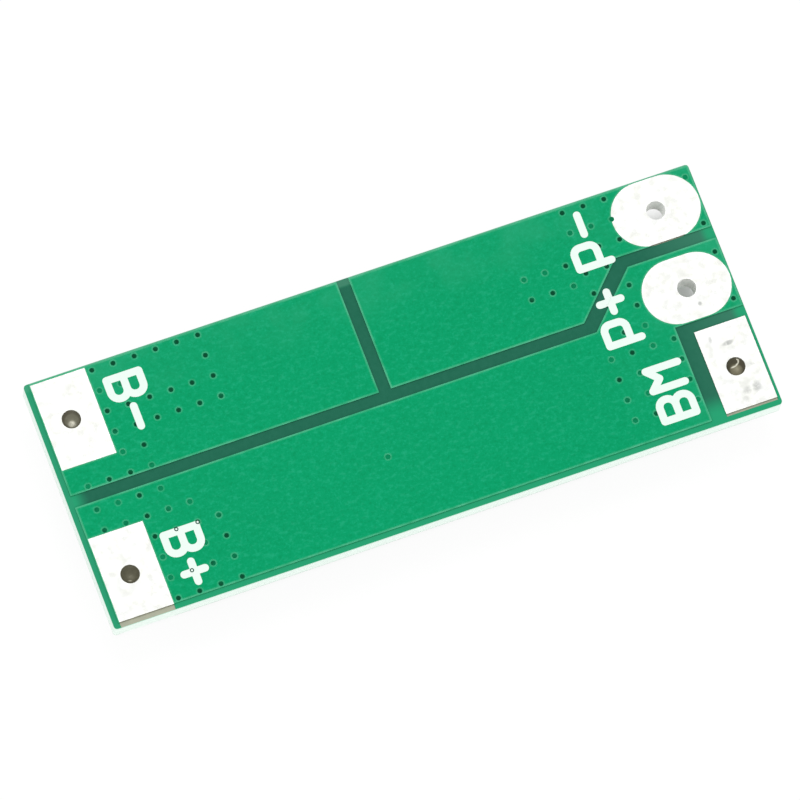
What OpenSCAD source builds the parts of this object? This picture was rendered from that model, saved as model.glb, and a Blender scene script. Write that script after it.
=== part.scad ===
// Two-cell battery management board: a double-sided laminate with five tinned wire terminals,
// copper pours stitched by plated vias, and the switching and balancing parts on the other face.
// X runs along the board towards the pack terminals, Y towards the edge with the negative
// terminals, Z up. The board stands on its two power transistors, terminal side up.
// The origin is on that resting plane, under the middle of the board. Sizes are in millimetres.

/* [Board] */
// Length of the laminate
board_length = 40.2; // [39.6:0.1:44]
// Width of the laminate
board_width = 15.1; // [15:0.1:18]
// Thickness of the laminate
laminate_t = 1.2; // [0.8:0.1:1.6]
// Radius of the laminate's corners
corner_r = 0.2; // [0.05:0.01:0.22]

/* [Layers] */
// Thickness of the copper foil
copper_t = 0.07; // [0.035:0.005:0.105]
// Thickness of the tin on bare copper
tin_t = 0.03; // [0.026:0.002:0.05]
// Thickness of the solder mask
mask_t = 0.025; // [0.015:0.005:0.025]
// Wall of the copper plated in the terminal holes
plating_t = 0.04; // [0.02:0.005:0.06]

/* [Pours] */
// Copper kept back from the battery end
left_margin = 0.34; // [0.3:0.01:0.36]
// Copper kept back from the pack end
right_margin = 0.08; // [0.07:0.01:0.12]
// Copper kept back from the negative edge
far_margin = 0.1; // [0.08:0.01:0.12]
// Copper kept back from the positive edge
near_margin = 0.36; // [0.33:0.01:0.36]
// Gap between neighbouring pours
pour_gap = 0.77; // [0.6:0.01:0.9]
// Gap between the two negative pours, from the board's middle towards the battery end
split_offset = 0.93; // [0.7:0.01:1.2]
// Middle of the gap between negative and positive pours, from the negative edge
divide_inset = 7.34; // [7.25:0.01:7.42]
// Middle of the gap between the two pack terminals, from the negative edge
step_inset = 4.29; // [4.22:0.01:4.36]
// Foot of the negative pour's slanted edge, from the pack end
minus_turn_inset = 8.98; // [8.8:0.01:9]
// Foot of the positive pour's slanted edge, from the pack end
plus_turn_inset = 8.49; // [8.4:0.01:8.6]
// Lower edge of the copper round the positive pack terminal, from the negative edge
plus_end_inset = 8.89; // [8.87:0.01:8.95]
// Edge of the positive pour beside the middle tap, from the pack end
plus_side_inset = 4.22; // [4:0.01:4.3]

/* [Terminals] */
// Diameter of the finished wire holes
wire_hole_d = 1.1; // [0.9:0.05:1.3]
// Width of the battery pads and the tap pad
battery_pad_w = 3.25; // [3:0.05:3.4]
// Length of the negative battery pad
minus_pad_l = 5.28; // [5:0.02:5.4]
// Length of the positive battery pad
plus_pad_l = 5.12; // [4.9:0.02:5.3]
// Battery pads from the battery end
pad_end_inset = 0.37; // [0.37:0.01:0.6]
// Negative battery pad from its edge
minus_pad_inset = 0.15; // [0.13:0.01:0.3]
// Positive battery pad from its edge
plus_pad_inset = 0.31; // [0.2:0.01:0.32]
// Tap pad from the pack end
tap_end_inset = 0.18; // [0.12:0.01:0.3]
// Tap pad from the positive edge
tap_pad_inset = 0.44; // [0.3:0.01:0.5]
// Laminate between the tap pad and the copper of the positive pack terminal
tap_clearance = 0.65; // [0.5:0.01:0.8]
// Width of the tap pad
tap_pad_w = 3.1; // [2.9:0.05:3.3]
// Bare laminate left by the mask at the tap pad's outer edge
tap_bare_strip = 0.14; // [0.05:0.01:0.2]
// Length of the rounded pack pads
pack_pad_l = 5.22; // [5:0.02:5.24]
// Width of the rounded pack pads
pack_pad_w = 3.86; // [3.6:0.02:3.9]
// Battery wire holes from the battery end
battery_hole_inset = 1.9; // [1.6:0.05:2.2]
// Battery wire holes from their long edges
battery_hole_edge = 2.75; // [2.4:0.05:3]
// Tap hole from the pack end
tap_hole_inset = 1.75; // [1.5:0.05:2]
// Tap hole from the positive edge
tap_hole_edge = 2.91; // [2.6:0.01:3.2]
// Pack pads and holes from the pack end
pack_hole_inset = 2.72; // [2.72:0.01:2.9]
// Negative pack pad and hole from the negative edge
pack_minus_edge = 2.03; // [2:0.01:2.1]
// Positive pack pad and hole from the negative edge
pack_plus_edge = 6.93; // [6.86:0.01:6.95]
// Depth of the solder's hollow in a filled hole
solder_hollow = 0.22; // [0.1:0.02:0.3]

/* [Stitching vias] */
// Finished diameter of a via
via_d = 0.3; // [0.2:0.02:0.32]
// Copper wall of a via
via_wall = 0.025; // [0.02:0.005:0.03]
// Grid that the vias stand on
via_pitch = 1.27; // [1.2:0.01:1.29]
// First row and corner vias from the board's edges
via_edge = 0.42; // [0.4:0.01:0.45]
// First column of the battery vias, from the battery end
battery_via_inset = 3.97; // [3.95:0.01:4.1]
// First column of the negative pack vias, from the pack end
minus_via_inset = 7.82; // [7.78:0.01:7.9]
// First column of the positive pack vias, from the pack end
plus_via_inset = 8.29; // [8.2:0.01:8.3]
// Last row of the positive battery vias, from the positive edge
plus_via_edge = 0.54; // [0.54:0.01:0.6]

/* [Power transistors] */
// Overall height of a power transistor
transistor_h = 2.3; // [2.2:0.05:2.4]
// Length from the tab's end to the lead tips
transistor_l = 9.95; // [9.8:0.05:10.2]
// Width of the moulded body
transistor_w = 6.6; // [6.4:0.05:6.7]
// Length of the moulded body
transistor_body_l = 6.1; // [5.9:0.05:6.2]
// Width of the drain tab
tab_w = 5.3; // [5:0.05:5.5]
// Thickness of the tab and the leads
tab_t = 0.5; // [0.4:0.02:0.55]
// Length of tab that stands out of the body
tab_reach = 1; // [0.8:0.05:1.2]
// Gap between the two tabs
tab_gap = 2.25; // [1.8:0.05:2.5]
// Spacing of neighbouring leads
transistor_pitch = 2.29; // [2.2:0.01:2.3]
// Centre line of the transistors, from the negative edge
transistor_inset = 3.98; // [3.9:0.01:4.05]

/* [Small packages] */
// Length of a six-lead or three-lead body
small_body_l = 2.9; // [2.8:0.02:3]
// Width of a six-lead body
small_body_w = 1.6; // [1.5:0.05:1.7]
// Width of a three-lead body
slim_body_w = 1.3; // [1.2:0.05:1.4]
// Height of the small packages over their lands
small_body_h = 1.15; // [1:0.05:1.3]
// Spacing of their leads
small_pitch = 0.95; // [0.9:0.01:0.97]
// Reach of a six-lead package's leads past its body
small_lead_reach = 0.6; // [0.5:0.02:0.65]
// Reach of a three-lead package's leads past its body
slim_lead_reach = 0.55; // [0.5:0.02:0.65]

/* [Chips] */
// Length of a chip resistor or capacitor
chip_l = 1.6; // [1.5:0.05:1.7]
// Width of a chip
chip_w = 0.8; // [0.7:0.05:0.9]
// Height of a chip resistor
resistor_h = 0.45; // [0.35:0.05:0.55]
// Height of a chip capacitor
capacitor_h = 0.8; // [0.6:0.05:0.9]
// Length of a bleed resistor
bleed_l = 2; // [1.9:0.05:2.1]
// Width of a bleed resistor
bleed_w = 1.25; // [1.1:0.05:1.35]
// Height of a bleed resistor
bleed_h = 0.55; // [0.45:0.05:0.6]
// Thickness of the metal on a chip's ends
cap_t = 0.03; // [0.02:0.005:0.04]

/* [Hidden] */

$fn = 48;
overlap = 0.5;
slant = sqrt(2) - 1;

// Heights of the two copper-clad faces above the resting plane
land_level = transistor_h;
under_level = land_level + tin_t + copper_t;
upper_level = under_level + laminate_t;
stack_t = laminate_t + 2 * (copper_t + tin_t);

// Places measured from the board's ends and edges
function from_left(d) = d - board_length / 2;
function from_right(d) = board_length / 2 - d;
function from_far(d) = board_width / 2 - d;
function from_near(d) = d - board_width / 2;
function spot(d, e) = [from_left(d), from_far(e)];

split_x = -split_offset;
divide_y = from_far(divide_inset);
step_y = from_far(step_inset);
rise_y = step_y - divide_y;
minus_turn_x = from_right(minus_turn_inset);
plus_turn_x = from_right(plus_turn_inset);

// Wire holes
hole_r = wire_hole_d / 2;
lining_r = hole_r + tin_t;
drill_r = lining_r + plating_t;
battery_minus_hole = [from_left(battery_hole_inset), from_far(battery_hole_edge)];
battery_plus_hole = [from_left(battery_hole_inset), from_near(battery_hole_edge)];
middle_tap_hole = [from_right(tap_hole_inset), from_near(tap_hole_edge)];
pack_minus_hole = [from_right(pack_hole_inset), from_far(pack_minus_edge)];
pack_plus_hole = [from_right(pack_hole_inset), from_far(pack_plus_edge)];
wire_holes = [battery_minus_hole, battery_plus_hole, middle_tap_hole, pack_minus_hole, pack_plus_hole];
filled_holes = [battery_minus_hole, battery_plus_hole, middle_tap_hole];

// Columns that are drilled in each row of a group of vias, row by row away from the group's edge
battery_minus_rows = [[0, 1, 2, 3, 4, 5], [0, 1, 2, 5], [0, 1, 2, 3, 4, 5], [0, 1, 2, 3, 4, 5],
    [0, 1], [-2, -1, 0, 1]];
battery_plus_rows = [[0, 1, 2, 3], [0, 1, 2, 3], [0, 1, 2, 3], [0, 1, 2, 3],
    [-2, -1, 0, 1, 2], [-2, -1, 0, 1]];
pack_minus_rows = [[0, 1, 2], [0, 1, 2], [1, 2], [0, 1], [0]];
pack_middle_rows = [[0, 1, 2], [0, 1, 2]];
pack_plus_rows = [[2], [2], [1, 2], [0, 1, 2, 3], [0, 1, 3], [0, 1, 3], [0, 1, 3]];
// First rows of the groups that stand off the negative edge
pack_middle_row_inset = 3.44;
pack_plus_row_inset = 5.69;
// Middle group's first column from the pack end, and the corner vias' rows
pack_middle_inset = 11.29;
minus_corner_rows = [0.71, 3.62];
plus_corner_rows = [5.43, 8.37];
// Sense via, from the gap between the negative pours and from the negative edge
sense_via_offset = 1.22;
sense_via_inset = 10.7;
sense_ring = 0.12;
via_r = via_d / 2;
via_drill_r = via_r + via_wall;

// Power transistors
transistor_y = from_far(transistor_inset);
discharge_place = [split_x - tab_gap / 2, transistor_y, 180];
charge_place = [split_x + tab_gap / 2, transistor_y, 0];
lead_exit_z = 1;
lead_w = 0.8;
lead_root_w = 1.05;
lead_root_l = 0.6;
lead_bend_r = 0.15;
lead_riser_x = 0.85;
stub_l = 0.9;
slug_l = 6.05;
slug_w = tab_w - 0.3;
tab_corner = 0.45;
body_standoff = 0.05;
moulding_draft = 0.15;
ejector_r = 0.75;
ejector_depth = 0.08;
lead_land = [2.75, 1.6];
lead_land_heel = 1.9;
tab_land = [6.6, tab_w + 0.5];
tab_land_reach = 0.4;
drain_border = 0.15;
drain_half_w = tab_land[1] / 2 + drain_border;
drain_reach = slug_l + 0.2;

// Small packages
small_span = small_body_w + 2 * small_lead_reach;
slim_span = slim_body_w + 2 * slim_lead_reach;
land_offset = 0.1;
small_reach = small_span / 2 - land_offset;
slim_reach = slim_span / 2 - land_offset;
small_lead_w = 0.4;
small_lead_t = 0.15;
small_lead_z = 0.45;
small_bend_r = 0.06;
small_riser_x = 0.14;
small_standoff = 0.1;
pin_mark_r = 0.16;
pin_mark_depth = 0.05;
pin_mark_inset = [0.45, 0.4];
small_land = [0.6, 0.7];
package_land_w = 2 * small_pitch + small_land[0];

// Chips, standing across the board
chip_end_l = 0.3;
bleed_end_l = 0.4;
chip_land_l = 0.7;
bleed_land_l = 0.7;
land_border = 0.05;
glaze_t = 0.02;
glaze_border = 0.04;
fillet_lip = 0.015;
resistor_leg = 0.28;
capacitor_leg = 0.32;
bleed_leg = 0.34;
lead_leg = 0.35;

// Lead lands of the power transistors: the source of one faces the gate of the other
lead_land_x = transistor_l - lead_land_heel + lead_land[0] / 2;
function lead_land_at(place, side) = [
    place[0] + (place[2] == 0 ? 1 : -1) * lead_land_x,
    transistor_y + side * transistor_pitch, lead_land[0], lead_land[1]
];
gate_lands = [lead_land_at(discharge_place, -1), lead_land_at(charge_place, 1)];
source_lands = [lead_land_at(discharge_place, 1), lead_land_at(charge_place, -1)];
tab_lands = [
    for (p = [discharge_place, charge_place])
        [p[0] + (p[2] == 0 ? 1 : -1) * (tab_land[0] / 2 - tab_land_reach), transistor_y,
            tab_land[0], tab_land[1]]
];

// Edges of the copper on the parts side
copper_gap = 0.3;
patch_border = 0.4;
minus_notch_x = gate_lands[0][0] - lead_land[0] / 2 - patch_border;
minus_notch_y = gate_lands[0][1] + lead_land[1] / 2 + copper_gap;
minus_patch_end = source_lands[0][0] + lead_land[0] / 2 + 1;
pack_patch_start = source_lands[1][0] - lead_land[0] / 2 - 0.05;
pack_ear_start = gate_lands[1][0] + lead_land[0] / 2 + 2 * copper_gap;
pack_shelf_y = gate_lands[1][1] - lead_land[1] / 2 - copper_gap;
plus_patch_end = from_left(battery_via_inset) + 3 * via_pitch + patch_border;
plus_patch_start = source_lands[1][0] + lead_land[0] / 2 + copper_gap;
tap_track_inset = 0.62;
tap_track_y = from_near(tap_track_inset);
plus_patch_base = tap_track_y + 0.45;
plus_side_x = from_right(plus_side_inset);
plus_ledge_y = from_far(plus_end_inset);

// Vias on the grid, kept where both faces have their net's copper
via_clear = sqrt(2) * via_drill_r;
function slope_rise(x, turn_x) = min(rise_y, max(0, x - turn_x));
function in_battery_minus(p) = p[1] > divide_y + pour_gap / 2 + via_drill_r
    && (p[0] < minus_notch_x - via_drill_r
        || (p[0] < minus_patch_end - via_drill_r && p[1] > minus_notch_y + via_drill_r));
function in_pack_minus(p) =
    p[1] > divide_y + pour_gap / 2 + slope_rise(p[0], minus_turn_x) + via_clear
    && p[0] > (p[1] > pack_shelf_y - via_clear ? pack_ear_start : pack_patch_start) + via_clear;
function in_positive(p) =
    p[1] < divide_y - pour_gap / 2 + slope_rise(p[0], plus_turn_x) - via_clear
    && (p[0] < plus_patch_end - via_drill_r
        ? p[1] > from_near(near_margin) + via_drill_r
        : p[0] > plus_patch_start + via_clear
            && p[1] > (p[0] > plus_side_x - via_drill_r ? plus_ledge_y : plus_patch_base) + via_clear);
function via_grid(start, rows, down = 1) = [
    for (j = [0:len(rows) - 1]) for (i = rows[j]) start + via_pitch * [i, -down * j]
];
function corner_vias(rows) = [for (e = rows) [from_right(via_edge), from_far(e)]];
battery_minus_vias = [
    for (p = via_grid(spot(battery_via_inset, via_edge), battery_minus_rows))
        if (in_battery_minus(p)) p
];
pack_minus_vias = [
    for (p = concat(
        via_grid([from_right(minus_via_inset), from_far(via_edge)], pack_minus_rows),
        via_grid([from_right(pack_middle_inset), from_far(pack_middle_row_inset)], pack_middle_rows),
        corner_vias(minus_corner_rows)))
        if (in_pack_minus(p)) p
];
plus_vias = [
    for (p = concat(
        via_grid([from_left(battery_via_inset), from_near(plus_via_edge)], battery_plus_rows, -1),
        via_grid([from_right(plus_via_inset), from_far(pack_plus_row_inset)], pack_plus_rows),
        corner_vias(plus_corner_rows)))
        if (in_positive(p)) p
];
sense_via = [split_x - sense_via_offset, from_far(sense_via_inset)];
positive_vias = concat(plus_vias, [sense_via]);
all_vias = concat(battery_minus_vias, pack_minus_vias, positive_vias);

// Rows of the small parts, with even gaps between the drain copper, the gate lane and the edge
track_w = 0.22;
tap_track_w = 0.3;
package_row_h = 2 * small_reach + small_land[1];
chip_row_h = bleed_l + bleed_land_l;
drain_edge_y = transistor_y - drain_half_w;
row_gap = (drain_edge_y - from_near(0) - track_w - package_row_h - chip_row_h) / 4;
gate_lane_y = drain_edge_y - row_gap - track_w / 2;
package_y = gate_lane_y - track_w / 2 - row_gap - package_row_h / 2;
chip_y = from_near(row_gap + chip_row_h / 2);

// Centres of pieces of these widths, spread with even gaps from start to end
function total(list, n) = n == 0 ? 0 : list[n - 1] + total(list, n - 1);
function spread(widths, start, end) = let (
    gap = (end - start - total(widths, len(widths))) / (len(widths) + 1)
) [for (i = [0:len(widths) - 1]) start + gap * (i + 1) + total(widths, i) + widths[i] / 2];

chip_land_w = chip_w + 2 * land_border;
bleed_land_w = bleed_w + 2 * land_border;
sense_keep = via_drill_r + sense_ring + 0.2;
left_x = spread([chip_land_w, chip_land_w, package_land_w], plus_patch_end, sense_via[0] - sense_keep);
right_x = spread([for (k = [1:4]) package_land_w], sense_via[0] + sense_keep, plus_patch_start);
gate_chip = [left_x[0], package_y];
feed_chip = [left_x[1], package_y];
protection_spot = [left_x[2], package_y];
lower_spot = [right_x[0], package_y];
first_switch = [right_x[1], package_y];
upper_spot = [right_x[2], package_y];
second_switch = [right_x[3], package_y];

// Kinds of chip along the positive edge: capacitor 0, resistor 1, bleed resistor 2
row_kinds = [0, 1, 0, 1, 1, 0, 1, 2, 2, 0, 1, 2, 2, 1];
row_x = spread([for (k = row_kinds) k == 2 ? bleed_land_w : chip_land_w],
    plus_patch_end, plus_patch_start);
function row_places(kind) = [
    for (i = [0:len(row_kinds) - 1]) if (row_kinds[i] == kind) [row_x[i], chip_y]
];
capacitor_places = row_places(0);
resistor_places = concat([gate_chip, feed_chip], row_places(1));
bleed_places = row_places(2);
sense_chip = [row_x[6], chip_y];
tap_chip = [row_x[13], chip_y];

// Lands as [x, y, size along X, size along Y]
function end_land(p, side, length, width, land_l) =
    [p[0], p[1] + side * length / 2, width + 2 * land_border, land_l];
function end_lands(places, length, width, land_l) = [
    for (p = places) for (side = [-1, 1]) end_land(p, side, length, width, land_l)
];
function six_lands(p) = [
    for (side = [-1, 1]) for (k = [-1:1])
        [p[0] + k * small_pitch, p[1] + side * small_reach, small_land[0], small_land[1]]
];
function three_lands(p) = [
    for (k = [-1:1])
        [p[0] + k * small_pitch, p[1] + (k == 0 ? 1 : -1) * slim_reach, small_land[0], small_land[1]]
];
small_lands = concat(
    end_lands(concat(resistor_places, capacitor_places), chip_l, chip_w, chip_land_l),
    end_lands(bleed_places, bleed_l, bleed_w, bleed_land_l),
    six_lands(protection_spot), six_lands(lower_spot), six_lands(upper_spot),
    three_lands(first_switch), three_lands(second_switch)
);
sense_land = end_land(sense_chip, 1, chip_l, chip_w, chip_land_l);
tap_land = end_land(tap_chip, -1, chip_l, chip_w, chip_land_l);
all_lands = concat(small_lands, gate_lands, source_lands, tab_lands);

// Tracks between the parts
left_lane_y = (gate_lands[0][1] - lead_land[1] / 2 + divide_y - pour_gap / 2) / 2;
gate_lane_x = split_x + tab_gap / 2 + drain_reach + 0.78;
under_lane_y = package_y - small_reach - 0.15;
function top_of(place, length = chip_l) = place + [0, length / 2];
function foot_of(place, length = chip_l) = place - [0, length / 2];
function lead_of(place, column, side) = place + [column * small_pitch, side * small_reach];
function row_spot(i) = [row_x[i], chip_y];
tracks = [
    // the left gate through its resistor to the protection chip
    [[gate_lands[0][0], gate_lands[0][1]], [gate_lands[0][0], left_lane_y],
        [gate_chip[0], left_lane_y], top_of(gate_chip)],
    [foot_of(gate_chip), [gate_chip[0], under_lane_y],
        [protection_spot[0] - small_pitch, under_lane_y]],
    // the right gate round the drain copper to the protection chip
    [[gate_lands[1][0], gate_lands[1][1]], [gate_lane_x, gate_lands[1][1]],
        [gate_lane_x, gate_lane_y], [protection_spot[0], gate_lane_y],
        lead_of(protection_spot, 0, 1)],
    // current sense, supply and cell taps of the protection chip
    [top_of(feed_chip), [feed_chip[0], package_y + small_reach], lead_of(protection_spot, -1, 1)],
    [lead_of(protection_spot, 0, -1), top_of(row_spot(4))],
    [lead_of(protection_spot, 1, -1), top_of(row_spot(5))],
    [foot_of(row_spot(0)), foot_of(row_spot(1))],
    [foot_of(row_spot(2)), foot_of(row_spot(3))],
    // balance chips to their switches and bleed resistors
    [lead_of(lower_spot, 1, 1), first_switch + [0, slim_reach]],
    [lead_of(upper_spot, 1, 1), second_switch + [0, slim_reach]],
    [lead_of(lower_spot, 0, -1), top_of(row_spot(7), bleed_l)],
    [lead_of(upper_spot, 0, -1), top_of(row_spot(11), bleed_l)],
    [first_switch + [small_pitch, -slim_reach], top_of(row_spot(10))],
    [foot_of(row_spot(7), bleed_l), foot_of(row_spot(8), bleed_l)],
    [foot_of(row_spot(11), bleed_l), foot_of(row_spot(12), bleed_l)]
];
sense_track = [sense_via, top_of(sense_chip)];
tap_track = [[from_right(tap_end_inset + tap_pad_w / 2), tap_track_y],
    [tap_chip[0] + 0.7, tap_track_y], foot_of(tap_chip)];

// ---------- flat shapes, each grown by g ----------

module area(x1, y1, x2, y2, g = 0) {
    translate([min(x1, x2) - g, min(y1, y2) - g])
        square([abs(x2 - x1) + 2 * g, abs(y2 - y1) + 2 * g]);
}

module board_outline() {
    area(from_left(0), from_near(corner_r), from_right(0), from_far(corner_r));
    area(from_left(corner_r), from_near(0), from_right(corner_r), from_far(0));
    for (x = [from_left(corner_r), from_right(corner_r)])
        for (y = [from_near(corner_r), from_far(corner_r)])
            translate([x, y]) circle(corner_r);
}

module land_areas(lands, g = 0) {
    for (a = lands)
        area(a[0] - a[2] / 2, a[1] - a[3] / 2, a[0] + a[2] / 2, a[1] + a[3] / 2, g);
}

// A track of one width along its points, with round turns
module track_area(points, width, g = 0) {
    r = width / 2 + g;
    for (p = points)
        translate(p) circle(r, $fn = 24);
    for (k = [1:len(points) - 1]) {
        step = points[k] - points[k - 1];
        translate(points[k - 1])
            rotate(atan2(step[1], step[0]))
                translate([0, -r]) square([norm(step), 2 * r]);
    }
}

// Foil round the vias, so that their walls always stand in copper
module collars(vias, g = 0) {
    for (p = vias)
        translate(p) circle(via_drill_r + g, $fn = 32);
}

module battery_minus_area(g = 0) {
    area(from_left(left_margin), from_far(far_margin),
        split_x - pour_gap / 2, divide_y + pour_gap / 2, g);
    collars(battery_minus_vias, g);
}

module pack_minus_area(g = 0) {
    left = split_x + pour_gap / 2 - g;
    right = from_right(right_margin) + g;
    top = from_far(far_margin) + g;
    low = divide_y + pour_gap / 2 - g;
    turn = minus_turn_x + slant * g;
    polygon([[left, top], [right, top], [right, low + rise_y], [turn + rise_y, low + rise_y],
        [turn, low], [left, low]]);
    collars(pack_minus_vias, g);
}

module positive_area(g = 0) {
    left = from_left(left_margin) - g;
    right = from_right(right_margin) + g;
    side = plus_side_x + g;
    top = divide_y - pour_gap / 2 + g;
    turn = plus_turn_x - slant * g;
    base = from_near(near_margin) - g;
    ledge = plus_ledge_y - g;
    polygon([[left, base], [left, top], [turn, top], [turn + rise_y, top + rise_y],
        [right, top + rise_y], [right, ledge], [side, ledge], [side, base]]);
    battery_plus_foot(g);
    collars(positive_vias, g);
}

// The positive battery pad reaches nearer the edge than its pour
module battery_plus_foot(g = 0) {
    area(from_left(left_margin), from_near(plus_pad_inset),
        from_left(pad_end_inset + battery_pad_w), from_near(near_margin + overlap), g);
}

module middle_tap_area(g = 0) {
    area(from_right(tap_end_inset), from_near(tap_pad_inset),
        from_right(tap_end_inset + tap_pad_w), plus_ledge_y - tap_clearance, g);
}

// Copper on the parts side
module battery_minus_patch(g = 0) {
    area(from_left(left_margin), from_far(far_margin), minus_patch_end, minus_notch_y, g);
    area(from_left(left_margin), from_far(far_margin), minus_notch_x, divide_y + pour_gap / 2, g);
    land_areas([source_lands[0]], g);
    collars(battery_minus_vias, g);
}

module pack_minus_patch(g = 0) {
    left = pack_patch_start - g;
    inner = pack_ear_start - g;
    right = from_right(right_margin) + g;
    top = from_far(far_margin) + g;
    shelf = pack_shelf_y + g;
    low = source_lands[1][1] - lead_land[1] / 2 - g;
    drop = divide_y + pour_gap / 2 - source_lands[1][1] + lead_land[1] / 2;
    turn = minus_turn_x + slant * g - drop;
    step = step_y + pour_gap / 2 - g;
    polygon([[inner, top], [right, top], [right, step], [turn + step - low, step], [turn, low],
        [left, low], [left, shelf], [inner, shelf]]);
    land_areas([source_lands[1]], g);
    collars(pack_minus_vias, g);
}

module positive_patches(g = 0) {
    start = plus_patch_start - g;
    side = plus_side_x + g;
    right = from_right(right_margin) + g;
    base = plus_patch_base - g;
    ledge = plus_ledge_y - g;
    step = step_y - pour_gap / 2 + g;
    turn = plus_turn_x + rise_y - slant * g;
    area(from_left(left_margin), divide_y - pour_gap / 2, plus_patch_end, from_near(near_margin), g);
    battery_plus_foot(g);
    polygon([[start, base], [start, step - turn + start], [turn, step],
        [right, step], [right, ledge], [side, ledge], [side, base]]);
    track_area(sense_track, track_w, g);
    land_areas([sense_land], g);
    translate(sense_via) circle(via_drill_r + sense_ring + g);
    collars(positive_vias, g);
}

module middle_tap_patch(g = 0) {
    middle_tap_area(g);
    track_area(tap_track, tap_track_w, g);
    land_areas([tap_land], g);
}

module drain_patch(g = 0) {
    area(split_x - tab_gap / 2 - drain_reach, transistor_y - drain_half_w,
        split_x + tab_gap / 2 + drain_reach, transistor_y + drain_half_w, g);
}

module signal_areas(g = 0) {
    land_areas(concat(small_lands, gate_lands), g);
    for (t = tracks)
        track_area(t, track_w, g);
}

// ---------- openings in the mask ----------

module battery_minus_window() {
    area(from_left(pad_end_inset), from_far(minus_pad_inset),
        from_left(pad_end_inset + battery_pad_w), from_far(minus_pad_inset + minus_pad_l));
}

// Open to the board's edge
module battery_plus_window() {
    area(from_left(pad_end_inset), from_near(-overlap),
        from_left(pad_end_inset + battery_pad_w), from_near(plus_pad_inset + plus_pad_l));
}

module middle_tap_window() {
    area(from_right(tap_end_inset), from_near(tap_pad_inset - tap_bare_strip),
        from_right(tap_end_inset + tap_pad_w), plus_ledge_y - tap_clearance);
}

module rounded_window(centre) {
    straight = pack_pad_l - pack_pad_w;
    translate(centre) {
        square([straight, pack_pad_w], center = true);
        for (side = [-1, 1])
            translate([side * straight / 2, 0]) circle(pack_pad_w / 2, $fn = 96);
    }
}

module terminal_windows() {
    battery_minus_window();
    battery_plus_window();
    middle_tap_window();
    rounded_window(pack_minus_hole);
    rounded_window(pack_plus_hole);
}

// ---------- layers and holes ----------

module upper_layer(low, high) {
    translate([0, 0, upper_level + low]) linear_extrude(high - low) children();
}

module lower_layer(low, high) {
    translate([0, 0, under_level - high]) linear_extrude(high - low) children();
}

// Round holes or posts through the whole board
module through(places, r) {
    for (p = places)
        translate([p[0], p[1], under_level - overlap])
            cylinder(r = r, h = laminate_t + 2 * overlap, $fn = 32);
}

// Plated posts between the two outer copper faces
module plated(places, r) {
    for (p = places)
        translate([p[0], p[1], under_level - copper_t])
            cylinder(r = r, h = laminate_t + 2 * copper_t, $fn = 32);
}

// One net: a pour or pad on each face, joined by its plated holes
module net(vias, holes) {
    difference() {
        union() {
            upper_layer(0, copper_t) children(0);
            lower_layer(0, copper_t) children(1);
            plated(vias, via_drill_r);
            plated(holes, drill_r);
        }
        through(vias, via_r);
        through(holes, lining_r);
    }
}

// The bare copper of a terminal, tinned on both faces and down its hole
module tinned_pad(hole) {
    difference() {
        union() {
            upper_layer(copper_t, copper_t + tin_t) children(0);
            lower_layer(copper_t, copper_t + tin_t) children(1);
            translate([hole[0], hole[1], land_level]) cylinder(r = lining_r, h = stack_t);
        }
        through([hole], hole_r);
        through(all_vias, via_r);
    }
}

// ---------- board ----------

module substrate() {
    color("honeydew")
        difference() {
            upper_layer(-laminate_t, 0) board_outline();
            through(wire_holes, drill_r);
            through(all_vias, via_drill_r);
        }
}

module terminal_side_mask() {
    color("mediumseagreen")
        difference() {
            union() {
                upper_layer(0, mask_t) board_outline();
                upper_layer(0, copper_t + mask_t) {
                    battery_minus_area(mask_t);
                    pack_minus_area(mask_t);
                    positive_area(mask_t);
                }
            }
            upper_layer(-overlap, copper_t) {
                battery_minus_area();
                pack_minus_area();
                positive_area();
            }
            upper_layer(-overlap, overlap) terminal_windows();
            through(all_vias, via_r);
        }
}

module parts_side_mask() {
    color("seagreen")
        difference() {
            union() {
                lower_layer(0, mask_t) board_outline();
                lower_layer(0, copper_t + mask_t) parts_side_copper(mask_t);
            }
            lower_layer(-overlap, copper_t) parts_side_copper();
            lower_layer(-overlap, overlap) {
                terminal_windows();
                land_areas(all_lands, land_border);
            }
            through(all_vias, via_r);
        }
}

module parts_side_copper(g = 0) {
    battery_minus_patch(g);
    pack_minus_patch(g);
    positive_patches(g);
    middle_tap_patch(g);
    drain_patch(g);
    signal_areas(g);
}

module via_plugs() {
    color("darkgreen") plated(all_vias, via_r);
}

module battery_minus_pour() {
    color("peru")
        net(battery_minus_vias, [battery_minus_hole]) {
            battery_minus_area();
            battery_minus_patch();
        }
}

module pack_minus_pour() {
    color("peru")
        net(pack_minus_vias, [pack_minus_hole]) {
            pack_minus_area();
            pack_minus_patch();
        }
}

module positive_pour() {
    color("peru")
        net(positive_vias, [battery_plus_hole, pack_plus_hole]) {
            positive_area();
            positive_patches();
        }
}

module middle_tap_pour() {
    color("peru")
        net([], [middle_tap_hole]) {
            middle_tap_area();
            middle_tap_patch();
        }
}

module drain_pour() {
    color("peru") lower_layer(0, copper_t) drain_patch();
}

module signal_tracks() {
    color("peru")
        lower_layer(0, copper_t)
            difference() {
                signal_areas();
                positive_patches();
                middle_tap_patch();
            }
}

// ---------- terminals ----------

module battery_minus_pad() {
    color("gainsboro")
        tinned_pad(battery_minus_hole) {
            battery_minus_window();
            battery_minus_window();
        }
}

module battery_plus_pad() {
    color("gainsboro")
        tinned_pad(battery_plus_hole) {
            battery_plus_tin();
            battery_plus_tin();
        }
}

module battery_plus_tin() {
    area(from_left(pad_end_inset), from_near(plus_pad_inset),
        from_left(pad_end_inset + battery_pad_w), from_near(plus_pad_inset + plus_pad_l));
}

module middle_tap_pad() {
    color("gainsboro")
        tinned_pad(middle_tap_hole) {
            middle_tap_area();
            middle_tap_area();
        }
}

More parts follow.
